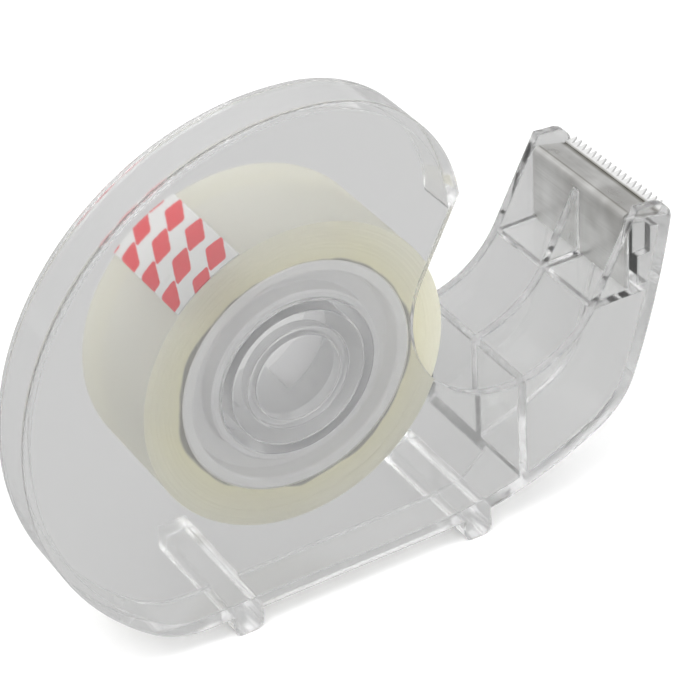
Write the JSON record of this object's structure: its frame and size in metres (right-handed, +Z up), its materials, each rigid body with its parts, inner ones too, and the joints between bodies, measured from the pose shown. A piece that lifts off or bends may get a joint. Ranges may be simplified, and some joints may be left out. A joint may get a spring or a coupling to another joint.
{
  "type": "tape dispenser",
  "caption": "Clear snail-shaped dispenser for adhesive tape, with a roll turning on a side hub and a serrated steel cutter on the nose.",
  "frame": {"origin": "middle of the bounding box, on the surface that the foot bars stand on", "axes": "+X towards the cutter, +Y towards the open side of the roll, +Z up"},
  "size_m": [0.0853, 0.022, 0.0669],
  "materials": {
    "clear_body": "clear moulded polystyrene, glossy, lightly grey",
    "cutter_steel": "rolled steel strip, satin",
    "clear_spool": "clear moulded plastic, glossy",
    "tape_film": "wound clear film, hazy pale cream at its edge",
    "tab_film": "white film printed with a red pattern"
  },
  "bodies": {
    "dispenser": {"side_wall": "clear_body", "rim_flange": "clear_body", "hub_tube": "clear_body", "hub_fingers": "clear_body", "hub_boss": "clear_body", "front_wall": "clear_body", "rear_bulkhead": "clear_body", "far_cheek": "clear_body", "centre_rib": "clear_body", "clamp_rib": "clear_body", "cutter_seat": "clear_body", "seat_gussets": "clear_body", "rear_foot": "clear_body", "front_foot": "clear_body", "cutter_blade": "cutter_steel"},
    "roll": {"spool_core": "clear_spool", "tape_winding": "tape_film"},
    "tab": {"starter_tab": "tab_film"}
  },
  "joints": [
    {"name": "roll_spin", "type": "hinge", "parent": "dispenser", "child": "roll", "pos_m": [-0.00825, 0, 0.0325], "axis": [0, 1, 0], "continuous": true},
    {"name": "tab_lift", "type": "hinge", "parent": "roll", "child": "tab", "pos_m": [-0.02216, 0, 0.04617], "axis": [0, -1, 0], "range_deg": [0, 55]}
  ]
}
